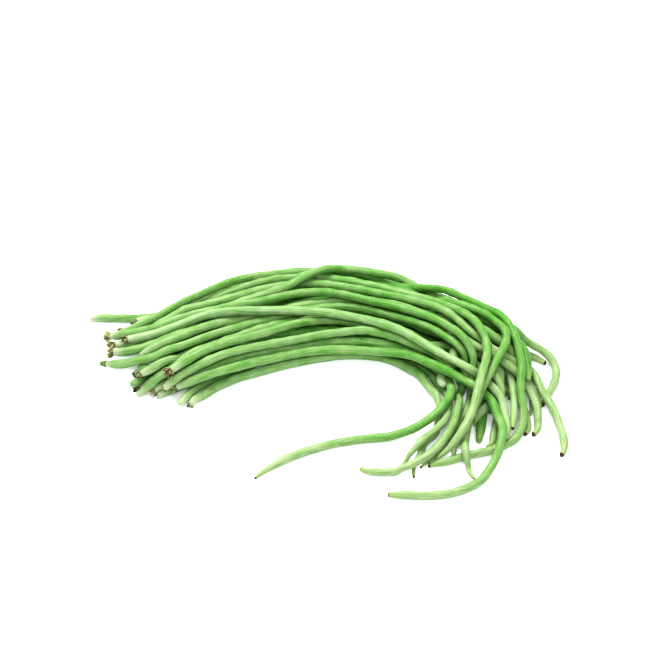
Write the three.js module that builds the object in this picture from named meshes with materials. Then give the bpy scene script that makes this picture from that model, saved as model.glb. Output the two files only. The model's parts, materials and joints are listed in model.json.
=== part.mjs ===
// A loose bunch of yardlong beans lying on a flat surface, in millimetres, +Z up.
// Every bean is one pod with its own route: the stem ends are gathered at the left, the pods arch
// together over the middle as one mound, and at the right they hook towards the front and fan out.
import * as THREE from "three";
import { mergeVertices } from "three/addons/utils/BufferGeometryUtils.js";

// Sizes of a pod.
const podRadius = 4.0;
const podRadiusSpread = 0.2;
const stemNeckRadius = 2.3;
const tipRadius = 1.5;
const neckLength = 16;
const beakLength = 34;
const endRounding = 0.8;
const sides = 6;

// Where a pod's rings are: some at set distances from its two ends, and the rest evenly between.
const ringsFromStem = [0, 5, 13];
const ringsFromTip = [26, 11, 3, 0];
const ringSpacing = 13;
const hiddenRingSpacing = 19;

// The gap kept between two pods, and how high a pod's middle is when it lies on the surface:
// the section is a hexagon that rests on one of its flat sides.
const podGap = 0.45;
const flatShare = Math.cos(Math.PI / 6);

// How the routes were read: a view from the front and above, through the photograph's middle pixel.
const viewTilt = (38 * Math.PI) / 180;
const viewDistance = 1500;
const viewPixelsAtOne = 1736;
const viewMiddle = [335, 325];
const viewAim = [5.6, 73.3];
const millimetresPerPixel = 0.84;
const middlePixel = [328, 381];

// The mound of the gathered pods, from left to right: the pixel column, where its front edge lies
// on the surface (mm), half its width from front to back and its height.
const mound = [
  { column: 100, front: 8, halfWidth: 24, height: 24 },
  { column: 130, front: -11, halfWidth: 30, height: 33 },
  { column: 165, front: -31, halfWidth: 53, height: 36 },
  { column: 200, front: -32, halfWidth: 64, height: 37 },
  { column: 260, front: 7, halfWidth: 60, height: 37 },
  { column: 330, front: 24, halfWidth: 56, height: 37 },
  { column: 390, front: 21, halfWidth: 50, height: 37 },
  { column: 430, front: -10, halfWidth: 59, height: 37 },
];

// Heights of a pod's middle above the surface: on the surface itself, and a layer up.
const low = podRadius * flatShare;
const layer = 2 * podRadius + podGap;

// Routes of the pods that show, from stem end to tip. A point is a pixel of the photograph, across
// and down, and the height of the pod's middle in mm. Without a height it lies on the mound's face.
const routes = {
  back_loner: [
    [91, 318, low], [130, 318, low], [158, 317, low], [178, 311, low], [198, 302, low],
    [220, 293, low], [245, 287, low], [275, 284, low], [310, 283, low], [350, 285, low],
    [400, 293, low], [440, 302, low], [475, 311, low],
    [506, 317, low],
  ],
  back_kick: [
    [160, 330, low], [210, 312, low], [260, 302, low], [300, 298, low], [350, 296, low],
    [400, 303, low], [440, 314, low], [470, 326, low], [495, 336, low], [508, 336, low],
    [517, 328, low],
  ],
  bottom_edge: [
    [192, 402, low], [210, 386, low], [245, 374, low], [285, 364, low], [330, 356, low],
    [370, 355, low], [402, 363, low], [418, 374, low], [430, 387, low], [437, 399, low],
    [440, 412, low], [436, 431, low], [428, 448, low], [415, 463, low], [414, 478, low],
  ],
  under_runner: [
    [179, 402, 8], [200, 386, 8], [230, 372, low], [265, 361, low], [300, 353, low],
    [340, 349, low], [380, 351, low], [410, 359, low], [427, 369, low], [439, 380, 6],
    [447, 392, 8], [449, 405, 10], [444, 417, 11], [430, 432, 10], [410, 452, 7], [400, 465, low],
  ],
  front_hook: [
    [173, 387], [205, 372], [240, 362], [280, 354], [320, 347], [350, 348], [380, 350],
    [400, 352], [420, 358], [440, 368, 13], [455, 377, 13], [466, 381, 13.5], [475, 386, 13.5],
    [483, 394, 13.5], [490, 402, 13], [497, 413, 12.5], [501, 428, 12], [500, 443, 12],
    [495, 457, 8], [487, 470, 4.5], [475, 482, low], [460, 489, low], [445, 493, low],
    [430, 495, low], [400, 494, low], [389, 493, low],
  ],
  left_reach: [
    [152, 388], [180, 371], [220, 357], [270, 347], [320, 341], [350, 338], [390, 340],
    [410, 346, 16], [430, 354, 12], [447, 367, 8], [455, 378, 9], [458, 390, 10],
    [455, 403, 11], [445, 413, 10], [422, 428, 7], [412, 434, 5], [400, 436, low],
    [380, 437, low], [360, 438, low], [340, 442, low], [320, 447, low], [300, 453, low],
    [285, 458, low], [270, 466, low], [256, 475, low],
  ],
  curl_tip: [
    [164, 387], [185, 370], [220, 354], [260, 345], [300, 337], [340, 330], [385, 329],
    [405, 336, 20], [425, 347, 17], [445, 360, 12], [457, 373, low], [461, 388, low],
    [460, 400, low], [457, 412, 6], [455, 422, 7], [448, 435, 7], [438, 447, 7],
    [425, 457, 6], [412, 465, 5], [400, 469, low], [385, 472, low], [372, 471, low],
    [361, 467, low],
  ],
  pale_runner: [
    [125, 336], [140, 336], [160, 332], [180, 326], [200, 320], [220, 315], [250, 313],
    [300, 313], [330, 315], [350, 318], [370, 323], [400, 332, 29], [420, 342, 27],
    [440, 354, 25], [455, 363, 23], [468, 368, 21], [480, 373, 18], [490, 383, 15],
    [498, 396, 14], [504, 410, 13], [507, 423, 11], [506, 437, 8],
  ],
  centre_fall: [
    [101, 361], [112, 363], [140, 362], [180, 349], [215, 335, 28], [260, 322, 26], [300, 312, 26],
    [340, 304, 26], [370, 309, 26], [400, 316, 27], [420, 323, 27], [440, 331, 27], [452, 342, 25],
    [460, 355, 20], [464, 367, 13], [466, 380, 5.5], [465, 392, low], [463, 405, low],
    [459, 420, 5], [453, 434, 5], [444, 446, 5], [432, 456, 5], [420, 464, 5],
  ],
  deep_hook: [
    [105, 335], [135, 332], [170, 321], [200, 312], [230, 307], [260, 301], [280, 297],
    [300, 293], [320, 292], [340, 295], [360, 300], [380, 304], [400, 309], [420, 316],
    [435, 320], [450, 328, 30], [462, 340, 28], [470, 352, 22], [474, 362, 16], [476, 373, 9],
    [476, 386, 5], [473, 400, low], [469, 415, low], [463, 430, low], [458, 443, low],
    [452, 455, low],
  ],
  inner_hook: [
    [133, 326], [150, 323], [170, 315], [190, 307], [210, 300], [230, 291], [250, 284],
    [260, 282], [280, 278], [300, 276], [320, 277], [340, 279], [380, 287], [400, 292],
    [420, 298], [440, 304, 35], [455, 309, 36], [465, 316, 36], [475, 325, 36], [482, 335, 35],
    [487, 348, 34], [487, 360, 33], [481, 373, 32], [478, 388, 30], [475, 400, 26],
    [468, 418, 20], [462, 430, 16], [455, 440, 13], [445, 449, 9], [431, 455, 6],
  ],
  cross_over: [
    [118, 331], [150, 326], [180, 318], [205, 311], [230, 303], [260, 295], [280, 289, 36],
    [295, 283, 39], [310, 276, 37], [325, 272, 32], [345, 271, 31], [365, 274, 31],
    [380, 279, 31], [400, 285], [425, 293], [450, 301, 34], [470, 309, 34], [485, 317, 33],
    [498, 324, 32], [504, 338, 31], [500, 352, 30], [493, 365, 28], [486, 378, 25],
    [481, 390, 22], [476, 403, 17], [470, 420, 12], [464, 438, 8], [464, 453, 6],
    [469, 466, 5], [475, 478, low],
  ],
  long_drop: [
    [107, 334], [127, 333], [150, 322], [168, 313], [190, 303], [210, 294], [230, 284],
    [250, 279], [280, 274], [300, 273], [320, 271], [345, 271], [370, 275], [390, 283],
    [420, 292], [450, 299], [470, 307, 28], [482, 311, 28], [495, 319, 28], [505, 327, 28],
    [512, 337, 27], [518, 352, 25], [519, 368, 23], [517, 382, 20], [516, 393, 17],
    [519, 405, 14], [523, 418, 9], [520, 431, 5], [512, 440, low], [495, 447, low],
    [470, 457, low], [440, 462, low], [428, 464, low],
  ],
  back_curl: [
    [128, 331, 20], [160, 322], [185, 314], [205, 307], [220, 303], [240, 297], [262, 290],
    [300, 284], [340, 287], [380, 295], [420, 306], [440, 313, 34], [450, 318, 33],
    [460, 326, 32], [470, 335, 30], [479, 345, 26], [490, 352, 21], [500, 358, 18],
    [512, 365, 15], [524, 375, 12], [534, 388, 9], [540, 404, 5],
  ],
  tucked_front: [
    [166, 372], [190, 357], [220, 344], [260, 333], [300, 321], [330, 320, 22], [370, 328, 20],
    [400, 338, 18], [425, 350, 14], [440, 352, 12], [460, 354, 11], [478, 363, 8],
    [489, 378, 5], [495, 393, low], [497, 410, low], [496, 430, low], [490, 445, low],
  ],
  tucked_middle: [
    [138, 393], [150, 383], [170, 363], [190, 352], [230, 336], [270, 324], [300, 317, 26],
    [330, 316, 20], [370, 320, 19], [400, 328, 17], [430, 342, 14], [455, 352, 10],
    [480, 360, 9], [500, 372, 9], [515, 385, 9], [525, 402, 8], [530, 415, 6], [526, 431, low],
  ],
  tucked_back: [
    [140, 373], [165, 362], [200, 347, 20], [230, 336, 20], [270, 322, 20], [300, 312, 20],
    [330, 308, 20], [370, 312, 20], [400, 318, 19], [430, 332, 17], [460, 345, 16],
    [485, 352, 16], [505, 364, 15], [518, 378, 13], [530, 392, 11], [537, 405, 9],
    [538, 417, 6], [535, 431, low],
  ],
  right_drop: [
    [139, 354], [165, 342], [200, 327], [240, 318, 26], [280, 312, 24], [320, 306, 24],
    [360, 304, 24], [400, 309, 24], [430, 318, 22], [460, 330, 20], [485, 343, 18],
    [500, 350, 17], [518, 359, 16], [530, 371, 14], [536, 382, 12], [543, 393, 12],
    [550, 403, 9], [557, 416, 5], [562, 430, low], [565, 443, low], [562, 453, low],
  ],
  right_loop: [
    [112, 350], [140, 349], [175, 337], [210, 326, 26], [250, 314, 22], [300, 300, 20],
    [350, 296, 19], [400, 301, 18], [440, 311, 18], [465, 319, 20], [480, 322, 22],
    [494, 327, 22], [505, 336, 17], [516, 344, 12], [530, 348, 7], [545, 353, low],
    [553, 362, low], [556, 375, low], [553, 386, low], [547, 394, low], [543, 403, low],
  ],
  short_right: [
    [108, 343], [140, 340, 20], [175, 330, 20], [210, 320, 16], [250, 310, 12], [300, 300, 12],
    [350, 297, 12], [400, 303, 12], [440, 313, 12], [470, 324, 13], [490, 333, 14],
    [505, 342, 12], [520, 350, 8], [535, 356, 4.6], [546, 362, low],
  ],
  fan_front: [
    [145, 333, 12], [200, 318, 12], [250, 302, 12], [300, 292, 12], [350, 289, 12],
    [400, 296, 12], [440, 308, 16], [465, 326, 20], [482, 345, 21], [492, 362, 21],
    [500, 378, 20], [507, 390, 17], [512, 405, 14], [514, 420, 11], [510, 435, 8],
  ],
  pale_tip: [
    [132, 385, 6], [165, 372, 12], [200, 355, 12], [250, 336, 12], [300, 322, 12],
    [350, 314, 12], [400, 318, 12], [430, 325, 12], [450, 332, 12], [475, 345, 13],
    [490, 360, 13], [496, 374, 12], [494, 388, 10], [488, 400, 6], [481, 413, 5],
    [474, 424, low],
  ],
  stray: [
    [445, 382, 8], [450, 372, 9], [457, 360, 10], [468, 348, 10], [485, 342, 10],
    [505, 348, 10], [522, 362, 9], [531, 380, 7], [533, 398, 5], [530, 412, low],
  ],
};

// Pods hidden inside the mound: rows of lanes from its front to its back, and single ones higher up
// where it has room. A lane is a share of the half width, from -1 in front to 1 at the back. Past
// the mound they follow a blend of the inner and the outer bend.
const hiddenRows = [
  { height: low, lanes: 6, range: [-0.44, 0.44] },
  { height: low + layer, lanes: 5, range: [-0.52, 0.2] },
];
const hiddenSingles = [
  { lane: 0.74, height: 18 },
  { lane: 0.42, height: 19 },
  { lane: -0.6, height: 16 },
];

// Pods that run inside the mound but show at an end: the pixels of that end.
const halfHidden = {
  left_under: {
    lane: -0.62, height: low, stem: [[157, 396], [180, 387]],
    bend: [[458, 375, low], [478, 385, low]],
  },
  left_deep: { lane: 0.36, height: low + layer, stem: [[132, 383], [160, 368]] },
  deep_fall: {
    lane: 0.05, height: low + 2 * layer,
    bend: [[456, 340, 18], [476, 356, 12], [487, 378, low], [488, 400, low], [485, 420, low],
      [481, 436, low], [477, 450, low]],
  },
  dull_end: {
    lane: -0.15, height: low + 2 * layer,
    bend: [[456, 342, 18], [474, 350, 16], [488, 362, 16], [497, 378, 14], [500, 392, 12],
      [501, 405, 10]],
  },
};
const laneReach = [-0.62, 0.76];
const laneColumns = [200, 260, 330, 390, 430];
const columnsFromStem = 15;
const hiddenStemColumns = [134, 186];
const innerBend = [[454, 356], [474, 368], [486, 386], [490, 408], [487, 430]];
const outerBend = [[464, 318], [496, 336], [518, 360], [527, 386], [526, 410]];
const bendPointsKept = [2, 5];

const seed = 11;

// A repeatable random number between 0 and 1.
function randomFrom(start) {
  let state = start >>> 0;
  return () => {
    state = (state * 1664525 + 1013904223) >>> 0;
    return state / 4294967296;
  };
}

// The point at a height that the view shows at a pixel.
function pointAt([column, row], height) {
  const across = (column - viewMiddle[0]) / viewPixelsAtOne;
  const up = (viewMiddle[1] - row) / viewPixelsAtOne;
  const sin = Math.sin(viewTilt);
  const cos = Math.cos(viewTilt);
  const behind = (up * (viewDistance - height * sin) - height * cos) / (sin - up * cos);
  const depth = viewDistance + behind * cos - height * sin;
  return new THREE.Vector3(viewAim[0] + across * depth, viewAim[1] + behind, height);
}

// The mound's cross-section at a pixel column, between the two nearest listed ones.
function moundAt(column) {
  const last = mound.length - 1;
  let k = 0;
  while (k < last - 1 && column > mound[k + 1].column) k += 1;
  const from = mound[k];
  const to = mound[k + 1];
  const t = THREE.MathUtils.clamp((column - from.column) / (to.column - from.column), 0, 1);
  const blend = (key) => THREE.MathUtils.lerp(from[key], to[key], t);
  return { front: blend("front"), halfWidth: blend("halfWidth"), height: blend("height") };
}

// The height at which the view's sight line through a pixel first meets the middles of the
// mound's outer pods, which lie on half an ellipse.
function faceHeight([column, row]) {
  const section = moundAt(column);
  const middle = section.front + section.halfWidth;
  const a = section.halfWidth - podRadius;
  const b = section.height - podRadius;
  const sin = Math.sin(viewTilt);
  const cos = Math.cos(viewTilt);
  const seen = (middlePixel[1] - row) * millimetresPerPixel - middle * sin;
  const across = (a * sin) ** 2;
  const upward = (b * cos) ** 2;
  const root = across + upward - seen ** 2;
  const share = (upward * seen + Math.sqrt(upward * across * Math.max(root, 0))) / (across + upward);
  return Math.max(share / cos, low);
}

function routeOf(points) {
  return points.map(([column, row, height]) =>
    pointAt([column, row], height ?? faceHeight([column, row])),
  );
}

// A hidden pod's route: its lane through the mound, then the first few points of the bend.
function hiddenRoute({ lane, height, stem = [], bend }, stemColumn, bendPoints) {
  const position = (lane - laneReach[0]) / (laneReach[1] - laneReach[0]);
  const atStem = stem.map((pixel) => pointAt(pixel, height));
  const start = stem.length > 0 ? stem[stem.length - 1][0] : stemColumn;
  const columns = laneColumns.filter((column) => column > start + columnsFromStem);
  if (stem.length === 0) columns.unshift(stemColumn);
  const inMound = columns.map((column) => {
    const section = moundAt(column);
    const across = (column - middlePixel[0]) * millimetresPerPixel;
    const behind = section.front + section.halfWidth * (1 + lane);
    return new THREE.Vector3(across, behind, height);
  });
  if (bend) return [...atStem, ...inMound, ...routeOf(bend)];
  const inBend = innerBend.slice(0, bendPoints).map((inner, k) => {
    const outer = outerBend[k];
    const pixel = [0, 1].map((n) => THREE.MathUtils.lerp(inner[n], outer[n], position));
    return pointAt(pixel, height);
  });
  return [...atStem, ...inMound, ...inBend];
}

// How thick a pod is at a distance from its stem end: a narrow neck, an even body whose seeds
// swell it a little, and a slow taper to a blunt tip.
function radiusAt(distance, length, pod) {
  const neck = THREE.MathUtils.smoothstep(distance, 0, neckLength);
  const beak = THREE.MathUtils.smoothstep(length - distance, 0, beakLength);
  const fromNeck = THREE.MathUtils.lerp(stemNeckRadius, pod.radius, neck);
  return fromNeck * THREE.MathUtils.lerp(tipRadius / pod.radius, 1, beak);
}

// Distances of a pod's rings from its stem end: closer together where its ends change width.
function ringDistances(length, spacing) {
  const from = Math.max(...ringsFromStem);
  const span = length - Math.max(...ringsFromTip) - from;
  const steps = Math.round(span / spacing);
  const body = Array.from({ length: steps - 1 }, (_, k) => from + (span * (k + 1)) / steps);
  return [...ringsFromStem, ...body, ...ringsFromTip.map((back) => length - back)];
}

// Evens out the small waves of a line of points and keeps its broad bends: each round pulls every
// inner point to the middle of its neighbours, and then pushes it back a little further.
function evenOut(points) {
  for (let round = 0; round < 2 * evenRounds; round += 1) {
    const share = round % 2 === 0 ? evenPull : evenPush;
    const before = points.map((p) => p.clone());
    for (let k = 1; k + 1 < points.length; k += 1) {
      const middle = before[k - 1].clone().add(before[k + 1]).multiplyScalar(0.5);
      points[k].lerp(middle, share);
    }
  }
}

function makePod(name, route, radius, spacing = ringSpacing) {
  const curve = new THREE.CatmullRomCurve3(route, false, "centripetal");
  curve.arcLengthDivisions = 600;
  const drawn = curve.getLength();
  const pod = { name, radius };
  pod.guide = ringDistances(drawn, spacing).map((d) => curve.getPointAt(Math.min(d / drawn, 1)));
  evenOut(pod.guide);
  pod.distances = [0];
  pod.guide.slice(1).forEach((p, k) => {
    pod.distances.push(pod.distances[k] + p.distanceTo(pod.guide[k]));
  });
  const length = pod.distances[pod.distances.length - 1];
  pod.points = pod.guide.map((p) => p.clone());
  pod.radii = pod.distances.map((d) => radiusAt(d, length, pod));
  return pod;
}

function layOut() {
  const random = randomFrom(seed);
  const radius = () => podRadius + podRadiusSpread * (2 * random() - 1);
  const pods = Object.entries(routes).map(([name, points]) =>
    makePod(name, routeOf(points), radius()),
  );
  const inRows = hiddenRows.flatMap(({ height, lanes, range }) =>
    Array.from({ length: lanes }, (_, k) => {
      return { lane: THREE.MathUtils.lerp(...range, k / (lanes - 1)), height };
    }),
  );
  const inside = [...inRows, ...hiddenSingles].map((lane, k) => ["hidden_" + (k + 1), lane]);
  [...inside, ...Object.entries(halfHidden)].forEach(([name, lane]) => {
    const stemColumn = THREE.MathUtils.lerp(...hiddenStemColumns, random());
    const bendPoints = Math.round(THREE.MathUtils.lerp(...bendPointsKept, random()));
    const route = hiddenRoute(lane, stemColumn, bendPoints);
    const shows = name in halfHidden;
    pods.push(makePod(name, route, radius(), shows ? ringSpacing : hiddenRingSpacing));
  });
  return pods;
}

// Relaxing the bunch: the pods keep their lengths and their curves, are drawn towards their routes,
// sink under their weight, and are pushed apart wherever two of them, or one and the surface, would
// meet. While they settle, everything but the pushing apart fades away.
const evenRounds = 6;
const evenPull = 0.5;
const evenPush = -0.53;
const relaxSteps = 420;
const settleSteps = 1200;
const sinkStep = 0.16;
const guidePull = 0.08;
const curveKeep = 0.3;
const curveReaches = [1, 2, 3];
const curveFadeSteps = 800;
const neighbourReach = 14;
const ownReach = 4;
const findPairsEvery = 8;
const lengthShares = { pulling: 0.8, settling: 0.2 };
const pushShares = { pulling: 0.7, settling: 1 };
const closeEnough = 0.05;
const sightShare = 1;
const sightLine = new THREE.Vector3(0, Math.cos(viewTilt), -Math.sin(viewTilt));

function closestOnSegments(p1, q1, p2, q2) {
  const d1 = [q1.x - p1.x, q1.y - p1.y, q1.z - p1.z];
  const d2 = [q2.x - p2.x, q2.y - p2.y, q2.z - p2.z];
  const r = [p1.x - p2.x, p1.y - p2.y, p1.z - p2.z];
  const dot = (u, v) => u[0] * v[0] + u[1] * v[1] + u[2] * v[2];
  const a = dot(d1, d1);
  const e = dot(d2, d2);
  const f = dot(d2, r);
  const c = dot(d1, r);
  const b = dot(d1, d2);
  const spread = a * e - b * b;
  const clamp = (x) => Math.min(Math.max(x, 0), 1);
  let s = spread > 1e-9 ? clamp((b * f - c * e) / spread) : 0.5;
  let t = (b * s + f) / e;
  if (t < 0 || t > 1) {
    t = clamp(t);
    s = clamp((b * t - c) / a);
  }
  const gap = [0, 1, 2].map((k) => r[k] + d1[k] * s - d2[k] * t);
  return { s, t, gap, distance: Math.hypot(...gap) };
}

function segmentsOf(pods) {
  const all = [];
  pods.forEach((pod, podIndex) => {
    for (let k = 0; k + 1 < pod.points.length; k += 1) all.push({ pod, podIndex, k });
  });
  return all;
}

function nearPairs(segments) {
  const middles = segments.map(({ pod, k }) => {
    const p = pod.points[k];
    const q = pod.points[k + 1];
    return [(p.x + q.x) / 2, (p.y + q.y) / 2, (p.z + q.z) / 2, p.distanceTo(q) / 2];
  });
  const pairs = [];
  for (let i = 0; i < segments.length; i += 1) {
    for (let j = i + 1; j < segments.length; j += 1) {
      const same = segments[i].podIndex === segments[j].podIndex;
      if (same && Math.abs(segments[i].k - segments[j].k) < ownReach) continue;
      const m = middles[i];
      const n = middles[j];
      const reach = m[3] + n[3] + neighbourReach;
      const dx = m[0] - n[0];
      const dy = m[1] - n[1];
      const dz = m[2] - n[2];
      if (dx * dx + dy * dy + dz * dz < reach * reach) pairs.push([segments[i], segments[j]]);
    }
  }
  return pairs;
}

// Moves two stretches of pods apart where they would meet, more along the sight line than across
// it, so that they stay at the pixels where they were seen.
function pushApart(first, second, share) {
  const p1 = first.pod.points[first.k];
  const q1 = first.pod.points[first.k + 1];
  const p2 = second.pod.points[second.k];
  const q2 = second.pod.points[second.k + 1];
  const { s, t, gap, distance } = closestOnSegments(p1, q1, p2, q2);
  const r1 = THREE.MathUtils.lerp(first.pod.radii[first.k], first.pod.radii[first.k + 1], s);
  const r2 = THREE.MathUtils.lerp(second.pod.radii[second.k], second.pod.radii[second.k + 1], t);
  const short = r1 + r2 + podGap - distance;
  if (short <= 0) return 0;
  const straight = new THREE.Vector3(...gap).divideScalar(Math.max(distance, 1e-6));
  const depth = Math.sign(straight.dot(sightLine)) * sightShare;
  const towards = straight.clone().addScaledVector(sightLine, depth).normalize();
  const weights = [1 - s, s, 1 - t, t];
  const total = weights.reduce((sum, w) => sum + w * w, 0);
  const move = (share * short) / (total * towards.dot(straight));
  [p1, q1, p2, q2].forEach((point, k) => {
    point.addScaledVector(towards, (k < 2 ? 1 : -1) * move * weights[k]);
  });
  return short;
}

function keepLengths(pod, share) {
  for (let k = 0; k + 1 < pod.points.length; k += 1) {
    const p = pod.points[k];
    const q = pod.points[k + 1];
    const rest = pod.distances[k + 1] - pod.distances[k];
    const off = q.clone().sub(p);
    const length = off.length();
    off.multiplyScalar((0.5 * share * (length - rest)) / length);
    p.add(off);
    q.sub(off);
  }
}

function keepCurve(pod, share, reach) {
  for (let k = reach; k + reach < pod.points.length; k += 1) {
    const from = k - reach;
    const to = k + reach;
    const whole = pod.distances[to] - pod.distances[from];
    const t = (pod.distances[k] - pod.distances[from]) / whole;
    const bow = pod.guide[k].clone().sub(pod.guide[from].clone().lerp(pod.guide[to], t));
    const want = pod.points[from].clone().lerp(pod.points[to], t).add(bow);
    pod.points[k].lerp(want, share);
  }
}

function stayAbove(pod) {
  pod.points.forEach((point, k) => {
    point.z = Math.max(point.z, pod.radii[k] * flatShare);
  });
}

function relax(pods) {
  const segments = segmentsOf(pods);
  let pairs = [];
  const steps = relaxSteps + settleSteps;
  for (let step = 0; step < steps; step += 1) {
    const phase = step < relaxSteps ? "pulling" : "settling";
    const stiffness = Math.min(1, Math.max(0, 1 - (step - relaxSteps) / curveFadeSteps));
    if (step % findPairsEvery === 0) pairs = nearPairs(segments);
    pods.forEach((pod) => {
      pod.points.forEach((point, k) => {
        point.lerp(pod.guide[k], guidePull * stiffness);
        point.z -= sinkStep * stiffness;
      });
      curveReaches.forEach((reach) => keepCurve(pod, curveKeep * stiffness, reach));
      keepLengths(pod, lengthShares[phase]);
    });
    let worst = 0;
    pairs.forEach(([first, second]) => {
      worst = Math.max(worst, pushApart(first, second, pushShares[phase]));
    });
    pods.forEach(stayAbove);
    if (phase === "settling" && worst < closeEnough) break;
  }
  return pods;
}

const worldUp = new THREE.Vector3(0, 0, 1);

// Turns a lathe's straight spindle into a pod bent along its points: ring j of the spindle goes to
// point j, in the plane that halves the bend there, with a flat side of the hexagon underneath.
function podGeometry(pod) {
  const count = pod.points.length;
  const first = pod.points[0].clone().sub(pod.points[1]).normalize();
  const last = pod.points[count - 1].clone().sub(pod.points[count - 2]).normalize();
  const centres = [
    pod.points[0].clone().addScaledVector(first, endRounding),
    ...pod.points,
    pod.points[count - 1].clone().addScaledVector(last, endRounding),
  ];
  const radii = [0, ...pod.radii, 0];
  const profile = radii.map((radius, j) => new THREE.Vector2(radius, j));
  const lathe = new THREE.LatheGeometry(profile, sides);
  const position = lathe.getAttribute("position");
  const rings = centres.length;
  const frames = centres.map((centre, j) => {
    const before = centres[Math.max(j - 1, 0)];
    const after = centres[Math.min(j + 1, rings - 1)];
    const inward = centre.clone().sub(before).normalize();
    const outward = after.clone().sub(centre).normalize();
    const along = inward.add(outward).normalize();
    const side = along.clone().cross(worldUp).normalize();
    return { side, up: side.clone().cross(along) };
  });
  for (let i = 0; i <= sides; i += 1) {
    const turn = (2 * Math.PI * ((i % sides) + 0.5)) / sides;
    for (let j = 0; j < rings; j += 1) {
      const place = centres[j].clone();
      place.addScaledVector(frames[j].side, radii[j] * Math.sin(turn));
      place.addScaledVector(frames[j].up, radii[j] * Math.cos(turn));
      position.setXYZ(i * rings + j, place.x, place.y, place.z);
    }
  }
  lathe.deleteAttribute("normal");
  lathe.deleteAttribute("uv");
  return mergeVertices(lathe, 1e-4);
}

const podColours = { pale: "#bfe694", fresh: "#8fcc63", deep: "#5f9f3a" };
const palePods = ["pale_runner", "pale_tip", "fan_front"];
const deepPods = ["left_deep", "deep_fall"];

function colourOf(name) {
  if (palePods.includes(name)) return podColours.pale;
  const deep = name.startsWith("hidden_") || deepPods.includes(name);
  return deep ? podColours.deep : podColours.fresh;
}

const bunch = new THREE.Group();
bunch.name = "yardlong_bean_bunch";
relax(layOut()).forEach((pod) => {
  const material = new THREE.MeshStandardMaterial({
    color: colourOf(pod.name),
    roughness: 0.45,
    metalness: 0,
  });
  const mesh = new THREE.Mesh(podGeometry(pod), material);
  mesh.name = "bean_" + pod.name;
  bunch.add(mesh);
});

// The origin is under the middle of the bunch, on the surface that it lies on.
const extent = new THREE.Box3().setFromObject(bunch);
const middle = extent.getCenter(new THREE.Vector3());
bunch.position.set(-middle.x, -middle.y, -extent.min.z);

export default bunch;
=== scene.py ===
import json
import math

import bpy
import numpy as np
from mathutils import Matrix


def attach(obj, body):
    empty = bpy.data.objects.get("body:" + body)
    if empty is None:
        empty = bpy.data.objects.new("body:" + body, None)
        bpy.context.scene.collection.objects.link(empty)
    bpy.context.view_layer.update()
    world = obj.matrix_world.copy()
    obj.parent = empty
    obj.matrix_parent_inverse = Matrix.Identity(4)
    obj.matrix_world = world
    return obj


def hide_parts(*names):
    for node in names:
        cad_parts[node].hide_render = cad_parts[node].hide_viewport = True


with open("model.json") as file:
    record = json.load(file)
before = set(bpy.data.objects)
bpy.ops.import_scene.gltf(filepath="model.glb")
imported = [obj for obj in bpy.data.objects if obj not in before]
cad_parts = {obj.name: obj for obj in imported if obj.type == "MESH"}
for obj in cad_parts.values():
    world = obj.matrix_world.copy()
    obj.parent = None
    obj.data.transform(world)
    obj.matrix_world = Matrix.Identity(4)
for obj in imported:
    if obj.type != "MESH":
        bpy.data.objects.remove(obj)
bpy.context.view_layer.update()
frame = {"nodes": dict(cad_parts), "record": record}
scene = bpy.context.scene
mm = 0.001

print("camera")

cameraSetup = {
    "place": (0.01215, -1.10217, 0.9235),  # metres, in the part's own frame
    "tilt": 52.0,                        # degrees up from looking straight down
    "lens": 93.28,                       # mm, on a film 36 mm wide
}

cameraData = bpy.data.cameras.new("camera")
cameraData.sensor_fit = "HORIZONTAL"
cameraData.sensor_width = 36.0
cameraData.lens = cameraSetup["lens"]
cameraData.clip_end = 20.0
camera = bpy.data.objects.new("camera", cameraData)
camera.location = cameraSetup["place"]
camera.rotation_euler = (math.radians(cameraSetup["tilt"]), 0, 0)
scene.collection.objects.link(camera)
scene.camera = camera


# One output of a node tree. Arithmetic on it adds Math nodes; node() adds any other node, with its
# settings first and then the values or links of its sockets.
class Wire:
    def __init__(self, tree, socket=None):
        self.tree = tree
        self.socket = socket

    def node(self, kind, settings=None, inputs=None, output=0):
        made = self.tree.nodes.new(kind)
        for key, value in (settings or {}).items():
            setattr(made, key, value)
        for key, value in (inputs or {}).items():
            if isinstance(value, Wire):
                self.tree.links.new(value.socket, made.inputs[key])
            else:
                made.inputs[key].default_value = value
        return Wire(self.tree, made.outputs[output] if len(made.outputs) else None)

    def math(self, operation, first, second=0.0):
        return self.node("ShaderNodeMath", {"operation": operation}, {0: first, 1: second})

    def __add__(self, other):
        return self.math("ADD", self, other)

    def __radd__(self, other):
        return self.math("ADD", other, self)

    def __sub__(self, other):
        return self.math("SUBTRACT", self, other)

    def __rsub__(self, other):
        return self.math("SUBTRACT", other, self)

    def __mul__(self, other):
        return self.math("MULTIPLY", self, other)

    def __rmul__(self, other):
        return self.math("MULTIPLY", other, self)

    def __abs__(self):
        return self.math("ABSOLUTE", self)

    # Smooth step: 0 where the value is at low, 1 where it is at high, an S between them.
    def step(self, low, high):
        return self.node("ShaderNodeMapRange", {"interpolation_type": "SMOOTHSTEP"},
                         {"Value": self, "From Min": low, "From Max": high})

    # The three parts of a vector.
    def parts(self):
        split = self.tree.nodes.new("ShaderNodeSeparateXYZ")
        self.tree.links.new(self.socket, split.inputs[0])
        return [Wire(self.tree, out) for out in split.outputs]

    # The vector with each part times its own factor.
    def stretch(self, factors):
        return self.node("ShaderNodeVectorMath", {"operation": "MULTIPLY"}, {0: self, 1: factors})

    # The first colour where share is 0, the second where it is 1.
    def colourMix(self, share, first, second):
        return self.node("ShaderNodeMix", {"data_type": "RGBA"}, {0: share, 6: first, 7: second}, 2)

    # This colour, with other laid over it by share.
    def under(self, other, share):
        return self.colourMix(share, self, other)

    def noise(self, scale, detail=2.0, roughness=0.5):
        return self.node("ShaderNodeTexNoise", {},
                         {"Vector": self, "Scale": scale, "Detail": detail, "Roughness": roughness})


def colour(red, green, blue):
    return (red, green, blue, 1.0)


print("skin")

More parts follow.
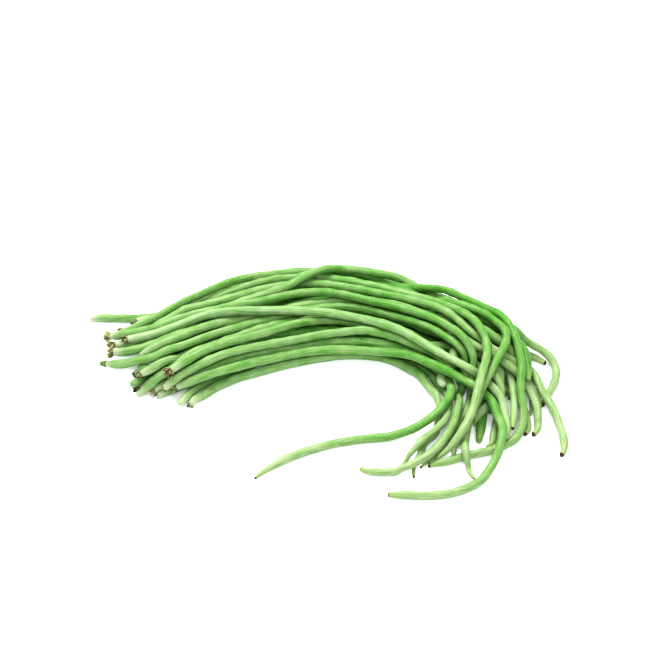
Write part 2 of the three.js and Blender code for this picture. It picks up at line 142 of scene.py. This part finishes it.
# Colours are linear. Each kind of pod mixes its own two greens, grows paler towards its tip by the
# share "paling", and has a whitish stem end by the share "neck". The rest is the same for all.
podGreens = {
    "fresh_pod": {"deep": colour(0.064, 0.238, 0.013), "light": colour(0.233, 0.345, 0.150),
                  "paling": 1.0, "neck": 0.80},
    "pale_pod": {"deep": colour(0.122, 0.290, 0.062), "light": colour(0.305, 0.390, 0.225),
                 "paling": 0.6, "neck": 0.80},
    # deep_pod: a darker copy of the greens for the pods lying under the others, painted shade; its stem end
    # is less whitish and its tip no paler, likewise painted shade
    "deep_pod": {"deep": colour(0.026, 0.165, 0.004), "light": colour(0.112, 0.270, 0.045),
                 "paling": 0.0, "neck": 0.30},
}
skinSetup = {
    "seam": colour(0.030, 0.175, 0.006),   # the fine line where the two halves of a pod meet
    "neck": colour(0.415, 0.460, 0.310),   # whitish green at the stem end
    "beak": colour(0.255, 0.345, 0.125),   # yellower green before the tip
    "tip": colour(0.075, 0.045, 0.032),    # dried brown of the very tip
    "blush": colour(0.330, 0.310, 0.150),  # rubbed, slightly brown patches
    "bloom": colour(0.400, 0.450, 0.345),  # pale specks and rubbed tops
    "far": colour(0.430, 0.445, 0.300),    # the pale green of the last third
    "husk": colour(0.045, 0.020, 0.008),   # the dried cap on the stem end
    "straw": colour(0.420, 0.400, 0.215),  # the paler parts of that cap
    "paling": (50.0, 190.0),               # mm from the tip over which the skin grows paler
    "neckReach": (1.0, 14.0),              # mm from the stem end, likewise whitish
    "beakReach": (2.0, 20.0),              # mm from the tip, likewise yellower
    "beakShare": 0.55,
    "ragged": 6.0,                         # mm by which those two borders wander
    "roughness": 0.38,
    "dryRoughness": 0.35,                  # added on caps and brown tips
    "grain": 0.00022,                      # metres of bump
    "glow": 0.14,                          # share of light that goes through the skin
    "glowDepth": 0.0022,                   # metres
    "gloss": 0.14,
}

# Noise that follows a pod: how it is stretched round (twice) and along it, scale, detail, roughness.
skinNoise = {
    "cloud": ((0.5, 0.5, 0.45), 1.0, 3.0, 0.55),
    "streak": ((3.2, 3.2, 0.42), 1.6, 3.0, 0.6),
    "lines": ((5.5, 5.5, 0.30), 1.7, 2.0, 0.55),
    "fine": ((9.0, 9.0, 2.2), 1.4, 2.0, 0.6),
    "fleck": ((5.0, 5.0, 4.0), 2.4, 1.0, 0.5),
    "ragged": ((2.4, 2.4, 3.0), 1.5, 3.0, 0.65),
}

# Marks on the skin: where the value behind each starts, where it is full, and how strong it is.
skinMarks = {
    "lightCloud": (0.38, 0.64, 0.36),
    "lightStreak": (0.38, 0.60, 0.50),
    "lightLines": (0.42, 0.58, 0.22),
    "earlyLight": (60, 210, 0.12),      # mm from the stem end: painted light, lighter before
    "midwayDark": (110, 260, 0.5),      # mm from the stem end: painted shade, darker after
    "bendDark": (270, 370, 1.0),        # and painted shade, darker again from here
    "darkUntil": (35, 110, 0.33),       # mm from the tip, where that painted shade ends, and the strength of both
    "seamLine": (0.03, 0.17, 0.42),
    "darkLines": (0.34, 0.45, 0.55),
    "paleGrain": (0.50, 0.72, 0.12),
    "darkGrain": (0.30, 0.48, 0.20),
    "blushCloud": (0.56, 0.70, 0.30),
    "blushStreak": (0.50, 0.65, 1.0),
    "flecks": (0.56, 0.68, 0.45),
}


# Skin = the two greens by a lightness, which is a sum of a broad cloud, streaks and lines along the
# pod, seed swellings and the distances from the ends, which give painted light near the stem end and
# painted shade from halfway and round the bend. Over it, each by its own share: the seams, dark lines,
# fine grain, blush, flecks, the paler last third, the neck, beak, brown tip and dried cap.
# The points carry three vectors: around (cosine and sine of the turn from the seam, centimetres along
# the pod), ends (mm from the stem end, mm from the tip, seed swelling) and marks (share of dried cap,
# tone of the pod, and mm of brown tip, or on a cap how pale it is).
def skinMaterial(name, greens):
    setup = skinSetup

    def full(value, mark):
        low, high, strength = skinMarks[mark]
        return value.step(low, high) * strength

    def empty(value, mark):
        low, high, strength = skinMarks[mark]
        return (1 - value.step(low, high)) * strength

    material = bpy.data.materials.new(name)
    material.use_nodes = True
    tree = material.node_tree
    tree.nodes.clear()
    start = Wire(tree)
    around = start.node("ShaderNodeAttribute", {"attribute_name": "around"}, output="Vector")
    ends = start.node("ShaderNodeAttribute", {"attribute_name": "ends"}, output="Vector")
    marks = start.node("ShaderNodeAttribute", {"attribute_name": "marks"}, output="Vector")
    seamAcross = around.parts()[1]
    fromStem, fromTip, swell = ends.parts()
    cap, tone, pale = marks.parts()
    cloud, streak, lines, fine, fleck, ragged = (
        around.stretch(stretch).noise(*rest) for stretch, *rest in skinNoise.values())

    # painted shade: darker from halfway along the pod and again round the bend, until near the tip
    paintedBendShade = full(fromStem, "midwayDark") + full(fromStem, "bendDark")
    # painted light: lighter near the stem end, where the left end of the bunch lies
    lightness = (full(cloud, "lightCloud") + full(streak, "lightStreak") + full(lines, "lightLines")
                 + swell * 0.16 + tone - 0.07 + empty(fromStem, "earlyLight")
                 - paintedBendShade * full(fromTip, "darkUntil"))
    base = start.colourMix(lightness, greens["deep"], greens["light"])
    base = base.under(setup["seam"], empty(abs(seamAcross), "seamLine"))
    base = base.under(setup["seam"], empty(lines, "darkLines"))
    base = base.under(setup["bloom"], full(fine, "paleGrain"))
    base = base.under(setup["seam"], empty(fine, "darkGrain"))
    base = base.under(setup["blush"], full(cloud, "blushCloud") * full(streak, "blushStreak"))
    base = base.under(setup["bloom"], full(fleck, "flecks"))
    paling = (1 - fromTip.step(*setup["paling"])) * (0.18 + 0.30 * streak.step(0.42, 0.62))
    base = base.under(setup["far"], paling * greens["paling"])
    border = (ragged - 0.5) * setup["ragged"]
    base = base.under(setup["neck"], (1 - (fromStem + border).step(*setup["neckReach"])) * greens["neck"])
    base = base.under(setup["beak"], (1 - (fromTip + border).step(*setup["beakReach"])) * setup["beakShare"])
    tipShare = 1 - (fromTip - pale + (ragged - 0.5) * 1.6).step(-0.35, 0.45)
    base = base.under(setup["tip"], tipShare)
    capPaleness = pale + ragged.step(0.44, 0.62) * 0.9 - 0.35
    base = base.under(start.colourMix(capPaleness, setup["husk"], setup["straw"]), cap)

    dry = cap.math("MAXIMUM", cap, tipShare)
    roughness = setup["roughness"] + (fine - 0.5) * 0.14 + dry * setup["dryRoughness"]
    height = streak * 0.9 + fine * 0.45 + ragged * dry * 2.0 + abs(seamAcross).step(0.03, 0.17) * 0.5
    bump = start.node("ShaderNodeBump", {},
                      {"Strength": 0.8, "Distance": setup["grain"], "Height": height})

    shader = start.node("ShaderNodeBsdfPrincipled", {"subsurface_method": "RANDOM_WALK"}, {
        "Base Color": base, "Roughness": roughness, "Normal": bump,
        "Subsurface Weight": setup["glow"], "Subsurface Radius": (0.6, 1.0, 0.25),
        "Subsurface Scale": setup["glowDepth"], "Specular IOR Level": setup["gloss"],
    })
    start.node("ShaderNodeOutputMaterial", {}, {"Surface": shader})
    return material


skins = {slotName: skinMaterial(slotName, greens) for slotName, greens in podGreens.items()}

print("pods")

podSetup = {
    "fullness": 0.94,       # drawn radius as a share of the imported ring's
    "sides": 28,
    "hiddenSides": 18,
    "step": 1.15,           # mm between two sections
    "hiddenStep": 2.2,
    "seedSpacing": (11.0, 17.5),
    "seedHalf": 3.9,        # mm, half the length of a seed's swelling
    "seedRise": (0.12, 0.42),
    "sway": 0.22,           # mm that the middle line wanders
    "flatness": 0.035,      # share by which the section is oval
    "seamDepth": 0.16,      # mm
    "seamWidth": 0.22,
    "ridges": 0.045,        # mm, six faint ones along the pod
    "bulge": 0.16,          # mm by which the thickness wanders
    "toneSpread": 0.14,
    "slim": 0.10,           # how much thinner a pod is near its tip than in its first half
    # how much darker or lighter than its kind a pod is; left_deep and left_under, which lie under the
    # others, are darker by painted shade
    "tones": {"front_hook": -0.22, "left_reach": 0.02, "stray": -0.10, "back_loner": -0.10,
              "deep_hook": -0.06, "pale_tip": 0.12, "curl_tip": 0.08, "back_kick": -0.12,
              "left_deep": -0.40, "left_under": -0.20},
    "eased": ("left_reach",),  # pods whose sharpest bend is drawn rounder
    "seed": 20,
}

# Stem ends: mm cut off to make room for the cap, and the neck's width as a share of the body's.
stemShapes = {
    "husk": {"trim": 3.5, "neck": 0.72},
    "rosette": {"trim": 4.0, "neck": 0.78},
    "paper": {"trim": 4.0, "neck": 0.66},
    "stub": {"trim": 6.0, "neck": 0.58},
    "cut": {"trim": 0.5, "neck": 0.78},
    "plain": {"trim": 0.0, "neck": 0.72},
}

# Tips: width where the taper ends as a share of the body's, mm from the tip between which it tapers,
# the nib's radius in mm (or as a share of the taper's end), its length and rounding in mm, and mm of
# it that are brown.
slimTip = {"beak": 0.40, "taper": (-1.0, 31.0), "nib": 1.05, "nibShare": 0.0, "reach": 2.6, "round": 0.7}
bluntTip = {"beak": 0.62, "taper": (0.0, 15.0), "nib": 0.0, "nibShare": 0.72, "reach": 0.8, "round": 0.6}
tipShapes = {
    "nib": {**slimTip, "brown": 1.5},
    "dark": {**slimTip, "brown": 3.6},
    "blunt": {**bluntTip, "brown": 1.2},
    "pale": {**bluntTip, "brown": -2.0},
}

# How the ends of each pod look. Stem: husk (brown dried cap), rosette (a large one), paper (a pale
# crumpled cap), stub (a short stalk), cut (a browned face) or plain. Tip: nib (slim and brown),
# dark (slim with a longer brown end), blunt (with a brown spot) or pale (blunt without one).
podEnds = {
    "back_loner": ("plain", "dark"),
    "back_kick": ("plain", "dark"),
    "bottom_edge": ("cut", "nib"),
    "under_runner": ("plain", "nib"),
    "front_hook": ("husk", "blunt"),
    "left_reach": ("paper", "nib"),
    "curl_tip": ("cut", "blunt"),
    "pale_runner": ("husk", "pale"),
    "centre_fall": ("stub", "nib"),
    "deep_hook": ("paper", "nib"),
    "inner_hook": ("stub", "nib"),
    "cross_over": ("husk", "nib"),
    "long_drop": ("paper", "blunt"),
    "back_curl": ("husk", "blunt"),
    "tucked_front": ("rosette", "pale"),
    "tucked_middle": ("plain", "blunt"),
    "tucked_back": ("husk", "blunt"),
    "right_drop": ("plain", "blunt"),
    "right_loop": ("rosette", "blunt"),
    "short_right": ("paper", "blunt"),
    "fan_front": ("plain", "blunt"),
    "pale_tip": ("husk", "pale"),
    "stray": ("plain", "nib"),
    "left_under": ("plain", "nib"),
    "left_deep": ("plain", "nib"),
    "deep_fall": ("cut", "pale"),
    "dull_end": ("cut", "blunt"),
}


# A packed pod is a chain of six-sided rings between two poles, the only points whose neighbours all
# have five neighbours. Counted in edges from a pole, every ring has its own number. A ring's mean
# is a point of the middle line, and the mean distance from it the radius. The stem end is wider.
def readPod(node):
    mesh = node.data
    mesh.calc_loop_triangles()
    places = np.empty(len(mesh.vertices) * 3)
    mesh.vertices.foreach_get("co", places)
    triangles = np.empty(len(mesh.loop_triangles) * 3, int)
    mesh.loop_triangles.foreach_get("vertices", triangles)
    keys, index = np.unique(np.round(places.reshape(-1, 3) * 1e5), axis=0, return_inverse=True)
    points = keys / 1e5
    corners = index.reshape(-1)[triangles].reshape(-1, 3)
    pairs = np.concatenate([corners[:, [0, 1]], corners[:, [1, 2]], corners[:, [2, 0]]])
    pairs = np.unique(np.sort(pairs, axis=1), axis=0)
    links = np.concatenate([pairs, pairs[:, ::-1]])
    neighbours = np.bincount(links[:, 0])
    others = np.bincount(links[:, 0], neighbours[links[:, 1]] != 5)
    ring = np.full(len(points), -1)
    ring[np.flatnonzero(others == 0)[0]] = 0
    number = 0
    while (ring < 0).any():
        reached = links[ring[links[:, 0]] == number, 1]
        ring[reached[ring[reached] < 0]] = number + 1
        number += 1
    inRing = np.bincount(ring)
    centres = np.stack([np.bincount(ring, points[:, axis]) / inRing for axis in range(3)], axis=1)
    radii = np.bincount(ring, np.linalg.norm(points - centres[ring], axis=1)) / inRing
    if radii[1] < radii[-2]:
        centres, radii = centres[::-1], radii[::-1]
    return centres / mm, radii / mm


# Natural cubic through the points: the second derivatives solve one tridiagonal system, with the
# chord lengths as the parameter. Returns the curve at the given parameters.
def throughPoints(points, wanted):
    chord = np.linalg.norm(np.diff(points, axis=0), axis=1)
    knots = np.concatenate([[0], np.cumsum(chord)])
    count = len(points)
    system = np.eye(count)
    inner = np.arange(1, count - 1)
    system[inner, inner - 1] = chord[:-1] / 6
    system[inner, inner] = (chord[:-1] + chord[1:]) / 3
    system[inner, inner + 1] = chord[1:] / 6
    slopes = np.diff(points, axis=0) / chord[:, None]
    right = np.zeros_like(points)
    right[1:-1] = np.diff(slopes, axis=0)
    bend = np.linalg.solve(system, right)
    span = np.clip(np.searchsorted(knots, wanted, side="right") - 1, 0, count - 2)
    width = chord[span][:, None]
    after = ((wanted - knots[span]) / chord[span])[:, None]
    before = 1 - after
    return (before * points[span] + after * points[span + 1]
            + ((before ** 3 - before) * bend[span] + (after ** 3 - after) * bend[span + 1])
            * width ** 2 / 6)


# A smooth random wave along s: the sum of sines of falling wavelengths, between about -1 and 1.
def wander(random, s, longest, shortest, waves=5):
    lengths = np.geomspace(longest, shortest, waves)
    phases = random.uniform(0, 2 * np.pi, waves)
    sizes = random.uniform(0.5, 1.0, waves) * np.geomspace(1.0, 0.45, waves)
    sines = np.sin(2 * np.pi * s[:, None] / lengths + phases) * sizes
    return sines.sum(axis=1) / sizes.sum()


# 0 below low, 1 above high, and 3 t^2 - 2 t^3 between them.
def smooth(value, low, high):
    t = np.clip((value - low) / (high - low), 0, 1)
    return t * t * (3 - 2 * t)


# Faces of a grid of rings that closes round, with a fan to one point at each end.
def closedGrid(rings, sides):
    row = np.arange(rings - 1)[:, None] * sides
    column = np.arange(sides)[None, :]
    following = (column + 1) % sides
    quads = np.stack([row + column, row + following, row + sides + following, row + sides + column],
                     axis=-1).reshape(-1, 4)
    first, last = rings * sides, rings * sides + 1
    top = (rings - 1) * sides
    side, after = np.arange(sides), (np.arange(sides) + 1) % sides
    fans = np.concatenate([
        np.stack([after, side, np.full(sides, first)], axis=1),
        np.stack([top + side, top + after, np.full(sides, last)], axis=1),
    ])
    return quads, fans


# The tube: place = middle + radius * (up * cos(turn) + side * sin(turn)), each ring in the plane
# across the middle line, whose own up and side stay level with the floor.
def tubePoints(middle, tangent, radius, turn):
    side = np.cross(tangent, (0, 0, 1.0))
    side /= np.linalg.norm(side, axis=1)[:, None]
    up = np.cross(side, tangent)
    return (middle[:, None] + radius[..., None]
            * (up[:, None] * np.cos(turn)[..., None] + side[:, None] * np.sin(turn)[..., None]))


# A quarter circle: 0 where the distance from an end is 0, 1 from reach onwards.
def rounded(distance, reach):
    return np.sqrt(np.clip(1 - np.clip(1 - distance / reach, 0, 1) ** 2, 0, 1))


# Radius along a pod: from the neck's width to the body's, down the taper to the nib, with a rounded
# end on each.
def bodyRadius(s, length, body, stemKind, tipKind):
    tip = tipShapes[tipKind]
    fromTip = length - s
    neckWidth = stemShapes[stemKind]["neck"]
    neck = neckWidth + (1 - neckWidth) * smooth(s, -2.0, 10.0)
    beak = tip["beak"] + (1 - tip["beak"]) * smooth(fromTip, *tip["taper"])
    nib = tip["nib"] + tip["nibShare"] * body * tip["beak"]
    wide = nib + (body * neck * beak - nib) * smooth(fromTip, tip["reach"] * 0.6, tip["reach"] * 1.5)
    stemRound = 2.4 if stemKind == "plain" else 1.2
    return wide * rounded(s, stemRound) * rounded(fromTip, tip["round"])


# A pod: its packed middle line, smoothed and set with sections every step, with seed swellings, a
# wandering middle, a turning oval section, two seam grooves and its ends.
def makePod(name, node, slotName):
    setup = podSetup
    kind = name.replace("bean_", "")
    hidden = kind.startswith("hidden")
    nameNumber = sum(ord(letter) * (place + 1) for place, letter in enumerate(kind))
    random = np.random.default_rng([setup["seed"], nameNumber])
    stemKind, tipKind = podEnds.get(kind, ("cut", "pale"))
    centres, radii = readPod(node)
    covered = hidden or slotName == "deep_pod"
    body = radii.max() * (1.0 if covered else setup["fullness"])
    if kind in setup["eased"]:
        for _ in range(3):
            centres[1:-1] = centres[1:-1] * 0.5 + (centres[:-2] + centres[2:]) * 0.25
    sides = setup["hiddenSides"] if hidden else setup["sides"]
    spacing = setup["hiddenStep"] if hidden else setup["step"]

    dense = np.linspace(0, np.linalg.norm(np.diff(centres, axis=0), axis=1).sum(), 4000)
    curve = throughPoints(centres, dense)
    travelled = np.concatenate([[0], np.cumsum(np.linalg.norm(np.diff(curve, axis=0), axis=1))])
    trim = stemShapes[stemKind]["trim"]
    length = travelled[-1] - trim
    edge = np.array([0.04, 0.15, 0.35, 0.65, 1.0])  # mm, close sections that round an end
    s = np.concatenate([edge, np.linspace(1.5, length - 1.5, int(length / spacing)), length - edge[::-1]])
    at = np.interp(s + trim, travelled, dense)
    middle = throughPoints(centres, at)
    tangent = np.gradient(middle, s, axis=0)
    tangent /= np.linalg.norm(tangent, axis=1)[:, None]

    # seeds swell the pod at uneven distances
    seedPlaces = np.cumsum(random.uniform(*setup["seedSpacing"], 60)) + 2.0
    seedPlaces = seedPlaces[seedPlaces < length - 20]
    seedSizes = random.uniform(*setup["seedRise"], len(seedPlaces)) * random.uniform(0.7, 1.25)
    swells = np.exp(-((s[:, None] - seedPlaces) / setup["seedHalf"]) ** 2)
    swell = swells.max(axis=1)
    rise = (swells * seedSizes).sum(axis=1) - seedSizes.mean() * 0.5
    wide = bodyRadius(s, length, body, stemKind, tipKind)
    if not covered:
        wide *= 1 - setup["slim"] * smooth(s, 0.42 * length, 0.85 * length)
    share = wide / body
    wide = wide + rise * share + setup["bulge"] * wander(random, s, 130, 22) * share

    ends = smooth(s, 0, 30) * smooth(length - s, 0, 30)
    side = np.cross(tangent, (0, 0, 1.0))
    side /= np.linalg.norm(side, axis=1)[:, None]
    middle = middle + side * (setup["sway"] * wander(random, s, 90, 24) * ends)[:, None]
    middle[:, 2] += 0.6 * setup["sway"] * wander(random, s, 90, 24) * ends

    # the oval section and its seam turn slowly along the pod
    seamTurn = random.uniform(0, 2 * np.pi) + 0.9 * wander(random, s, 400, 90, 3)
    turn = np.linspace(0, 2 * np.pi, sides, endpoint=False)[None, :] + 0 * s[:, None]
    fromSeam = turn - seamTurn[:, None]
    oval = 1 + setup["flatness"] * np.cos(2 * fromSeam)
    groove = setup["seamDepth"] * np.exp(-(np.sin(fromSeam) / setup["seamWidth"]) ** 2)
    ridges = setup["ridges"] * np.cos(6 * fromSeam + 1.1 * wander(random, s, 120, 40, 3)[:, None])
    radius = wide[:, None] * oval + (ridges - groove) * share[:, None]

    # what lies on the floor touches it, and nothing dips into it
    lowest = radius[:, np.cos(turn[0]) < -0.5].max(axis=1) + 0.02
    lying = 1 - smooth(middle[:, 2], 3.8, 6.0)
    middle[:, 2] += lying * (lowest - middle[:, 2])
    middle[:, 2] = np.maximum(middle[:, 2], lowest)
    grid = tubePoints(middle, tangent, radius, turn)
    firstPole = middle[0] - tangent[0] * 0.04
    lastPole = middle[-1] + tangent[-1] * 0.04
    points = np.concatenate([grid.reshape(-1, 3), firstPole[None], lastPole[None]])
    quads, fans = closedGrid(len(s), sides)

    shift = random.uniform(0, 50)  # so that no two pods have the same marks
    around = np.stack([np.cos(fromSeam), np.sin(fromSeam), s[:, None] / 10 + shift + 0 * turn], axis=-1)
    around = np.concatenate([around.reshape(-1, 3), [[0, 0, shift], [0, 0, length / 10 + shift]]])
    flat = np.stack([s, length - s, swell], axis=1)
    distances = np.concatenate([np.repeat(flat, sides, axis=0), [[0, length, 0], [length, 0, 0]]])
    tone = random.uniform(-setup["toneSpread"], setup["toneSpread"]) + setup["tones"].get(kind, 0.0)
    marks = np.tile([0.0, tone, tipShapes[tipKind]["brown"]], (len(points), 1))
    pieces = [(points, quads, fans, around, distances, marks)]
    if stemKind != "plain":
        pieces.append(stemCap(stemKind, middle[0], tangent[0], body, tone, random))
    return buildMesh(kind + "_pod", pieces, skins[slotName])


# Caps, in mm: how far one reaches out, its rim's radius, lobes, crumpling, its stalk's length and
# thickness, how pale it is and how much of it is dry.
capSetup = {
    "sides": 40,
    "lobeDepth": 0.75,
    "crumple": 0.26,
    "towardsFront": (0.5, 1.1),
    "husk": {"reach": 4.6, "flare": 3.5, "lobes": 5, "crumple": 0.90, "stalk": 2.0, "thick": 1.0,
             "pale": 0.28, "dry": 1.0},
    "rosette": {"reach": 5.6, "flare": 4.5, "lobes": 6, "crumple": 1.05, "stalk": 2.6, "thick": 1.2,
                "pale": 0.22, "dry": 1.0},
    "paper": {"reach": 5.2, "flare": 3.8, "lobes": 4, "crumple": 1.00, "stalk": 1.6, "thick": 1.0,
              "pale": 0.70, "dry": 1.0},
    "stub": {"reach": 1.2, "flare": 2.6, "lobes": 5, "crumple": 0.25, "stalk": 4.6, "thick": 2.7,
             "pale": -0.05, "dry": 0.90},
    "cut": {"reach": 0.8, "flare": 3.0, "lobes": 3, "crumple": 0.35, "stalk": 0.9, "thick": 1.0,
            "pale": 0.45, "dry": 1.0},
}


# The dried cap: a profile turned round the pod's end, out along a cup, round its rim and back down
# to a short stalk. The rim's reach goes with cos(lobes * turn), the cup crumples by sines of the
# turn that grow towards the rim, and the whole leans a little to the front and up.
def stemCap(kind, place, tangent, body, tone, random):
    setup = capSetup[kind]
    sides = capSetup["sides"]
    reach, flare, stalk, thick = (setup[key] for key in ("reach", "flare", "stalk", "thick"))
    # each row: distance out, radius, how far it follows the lobes, how far it crumples, how pale
    profile = np.array([
        [-1.6, 0.9, 0, 0, 0.5], [-1.2, body * 0.62, 0, 0, 0.5], [-0.5, body * 0.76, 0, 0.1, 0.5],
        [0.1, body * 0.80, 0, 0.2, 0.3], [0.25 * reach, flare * 0.82, 0.2, 0.4, 0.2],
        [0.5 * reach, flare * 0.90, 0.45, 0.7, 0.3], [0.75 * reach, flare * 0.97, 0.75, 0.9, 0.6],
        [reach, flare, 1, 1.0, 1.0], [reach * 1.01, flare * 0.95, 1, 1.0, 1.0],
        [0.74 * reach, flare * 0.84, 0.75, 0.9, 0.3], [0.45 * reach, flare * 0.66, 0.45, 0.6, 0.0],
        [0.22 * reach, flare * 0.46, 0.1, 0.3, 0.0], [0.2 * reach, 1.1 * thick, 0, 0.1, 0.1],
        [0.2 * reach + 0.3 * stalk, 0.95 * thick, 0, 0.1, 0.2],
        [0.2 * reach + 0.7 * stalk, 0.80 * thick, 0, 0.15, 0.3],
        [0.2 * reach + stalk, 0.62 * thick, 0, 0.2, 0.5],
        [0.2 * reach + stalk + 0.3, 0.35 * thick, 0, 0.2, 0.6],
    ])
    turn = np.linspace(0, 2 * np.pi, sides, endpoint=False)[None, :]
    phase = random.uniform(0, 2 * np.pi, 6)
    lobes = 0.5 + 0.5 * np.cos(setup["lobes"] * turn + phase[0] + 0.5 * np.sin(turn + phase[1]))
    drop = capSetup["lobeDepth"] * reach * (1 - lobes ** 0.7)
    outwards = profile[:, :1] - drop * profile[:, 2:3]
    crumple = (np.sin(7 * turn + phase[2]) + 0.7 * np.sin(11 * turn + phase[3])
               + np.sin(3 * turn + phase[4])) / 2.7
    curl = 0.5 * np.sin(2 * turn + phase[5]) + 0.35 * np.sin(9 * turn + phase[1])
    crumpling = setup["crumple"] * profile[:, 3:4]
    radius = profile[:, 1:2] * (1 + capSetup["crumple"] * crumpling * crumple)
    outwards = outwards + crumpling * curl
    rows = len(profile)
    axis = -tangent
    bentAxis = axis + random.uniform(*capSetup["towardsFront"]) * np.array([0, -0.75, 0.45])
    bentAxis /= np.linalg.norm(bentAxis)
    side = np.cross(bentAxis, (0, 0, 1.0))
    side /= np.linalg.norm(side)
    up = np.cross(side, bentAxis)
    grid = (place + bentAxis * outwards[..., None]
            + radius[..., None] * (up * np.cos(turn)[..., None] + side * np.sin(turn)[..., None]))
    grid[..., 2] = np.maximum(grid[..., 2], 0.05)
    firstPole = grid[0].mean(axis=0) - bentAxis * 0.1
    lastPole = grid[-1].mean(axis=0) + bentAxis * 0.1
    points = np.concatenate([grid.reshape(-1, 3), firstPole[None], lastPole[None]])
    quads, fans = closedGrid(rows, sides)
    around = np.stack([np.cos(turn) + 0 * outwards, np.sin(turn) + 0 * outwards, outwards / 6], axis=-1)
    around = np.concatenate([around.reshape(-1, 3), np.zeros((2, 3))]) + random.uniform(0, 40)
    distances = np.tile([50.0, 50.0, 0.0], (len(points), 1))
    capShare = setup["dry"] * np.clip(0.55 + 0.5 * profile[:, 3], 0, 1)
    pale = setup["pale"] + 0.9 * (profile[:, 4] - 0.4)
    marks = np.stack([capShare, np.full(rows, tone), pale], axis=1)
    marks = np.concatenate([np.repeat(marks, sides, axis=0), [[0.5, tone, 0.3]], [[1.0, tone, 0.3]]])
    return points, quads, fans, around, distances, marks


# Sum of the tetrahedra between the faces and the origin: above 0 where the faces point outwards.
def signedVolume(points, quads, fans):
    corners = np.concatenate([quads[:, [0, 1, 2]], quads[:, [0, 2, 3]], fans])
    a, b, c = (points[corners[:, k]] for k in range(3))
    return np.einsum("ij,ij->i", a, np.cross(b, c)).sum() / 6


# One object of several closed shells, each with its faces outwards, and the vectors of its points.
def buildMesh(name, pieces, material):
    points, quads, fans, vectors = [], [], [], {"around": [], "ends": [], "marks": []}
    count = 0
    for places, four, three, around, distances, marks in pieces:
        if signedVolume(places, four, three) < 0:
            four, three = four[:, ::-1], three[:, ::-1]
        points.append(places * mm)
        quads.append(four + count)
        fans.append(three + count)
        for key, rows in zip(vectors, (around, distances, marks)):
            vectors[key].append(rows)
        count += len(places)
    mesh = bpy.data.meshes.new(name)
    faces = np.concatenate(quads).tolist() + np.concatenate(fans).tolist()
    mesh.from_pydata(np.concatenate(points), [], faces)
    for key, rows in vectors.items():
        attribute = mesh.attributes.new(key, "FLOAT_VECTOR", "POINT")
        attribute.data.foreach_set("vector", np.concatenate(rows).astype(np.float32).reshape(-1))
    mesh.polygons.foreach_set("use_smooth", np.ones(len(mesh.polygons), bool))
    mesh.materials.append(material)
    mesh.update()
    piece = bpy.data.objects.new(name, mesh)
    scene.collection.objects.link(piece)
    return piece


slotOf = {part["node"]: part["material_slot"] for part in frame["record"]["subparts"]}
for nodeName, node in sorted(frame["nodes"].items()):
    pod = makePod(nodeName, node, slotOf[nodeName])
    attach(pod, "root")
    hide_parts(nodeName)

print("floor and light")

stageSetup = {
    "floorSize": 6.0,
    "floorColour": colour(0.84, 0.85, 0.86),
    "skyColour": colour(0.93, 0.965, 1.0),
    "floorGlow": 0.16,                     # lifts the shadows on the floor
    "skyStrength": 0.52,
    # place, size and power, and tint
    "key": ((-0.35, 0.9, 2.1), 1.5, 71.0, (1.0, 0.985, 0.95)),
    "fill": ((0.25, -1.3, 1.5), 1.1, 21.0, (1.0, 1.0, 1.0)),
    "look": "High Contrast",
}

half = stageSetup["floorSize"] / 2
floorMesh = bpy.data.meshes.new("floor")
floorCorners = [(-half, -half, 0), (half, -half, 0), (half, half, 0), (-half, half, 0)]
floorMesh.from_pydata(floorCorners, [], [(0, 1, 2, 3)])
floor = bpy.data.objects.new("floor", floorMesh)
scene.collection.objects.link(floor)
floorMaterial = bpy.data.materials.new("floor")
floorMaterial.use_nodes = True
floorShader = floorMaterial.node_tree.nodes["Principled BSDF"]
floorShader.inputs["Base Color"].default_value = stageSetup["floorColour"]
floorShader.inputs["Roughness"].default_value = 0.9
floorShader.inputs["Specular IOR Level"].default_value = 0.1
floorShader.inputs["Emission Color"].default_value = stageSetup["skyColour"]
floorShader.inputs["Emission Strength"].default_value = stageSetup["floorGlow"]
floorMesh.materials.append(floorMaterial)

world = bpy.data.worlds.new("sky")
world.use_nodes = True
background = world.node_tree.nodes["Background"]
background.inputs["Color"].default_value = stageSetup["skyColour"]
background.inputs["Strength"].default_value = stageSetup["skyStrength"]
scene.world = world


# A square soft light, turned so that it faces the middle of the bunch.
def areaLight(name, place, size, power, tint):
    data = bpy.data.lights.new(name, "AREA")
    data.size = size
    data.energy = power
    data.color = tint
    lamp = bpy.data.objects.new(name, data)
    lamp.location = place
    away = np.array(place) - np.array([0, 0, 0.02])
    lamp.rotation_euler = (math.atan2(math.hypot(away[0], away[1]), away[2]), 0,
                           math.atan2(away[1], away[0]) + math.pi / 2)
    scene.collection.objects.link(lamp)


areaLight("key", *stageSetup["key"])
areaLight("fill", *stageSetup["fill"])

scene.view_settings.view_transform = "Standard"
scene.view_settings.look = stageSetup["look"]
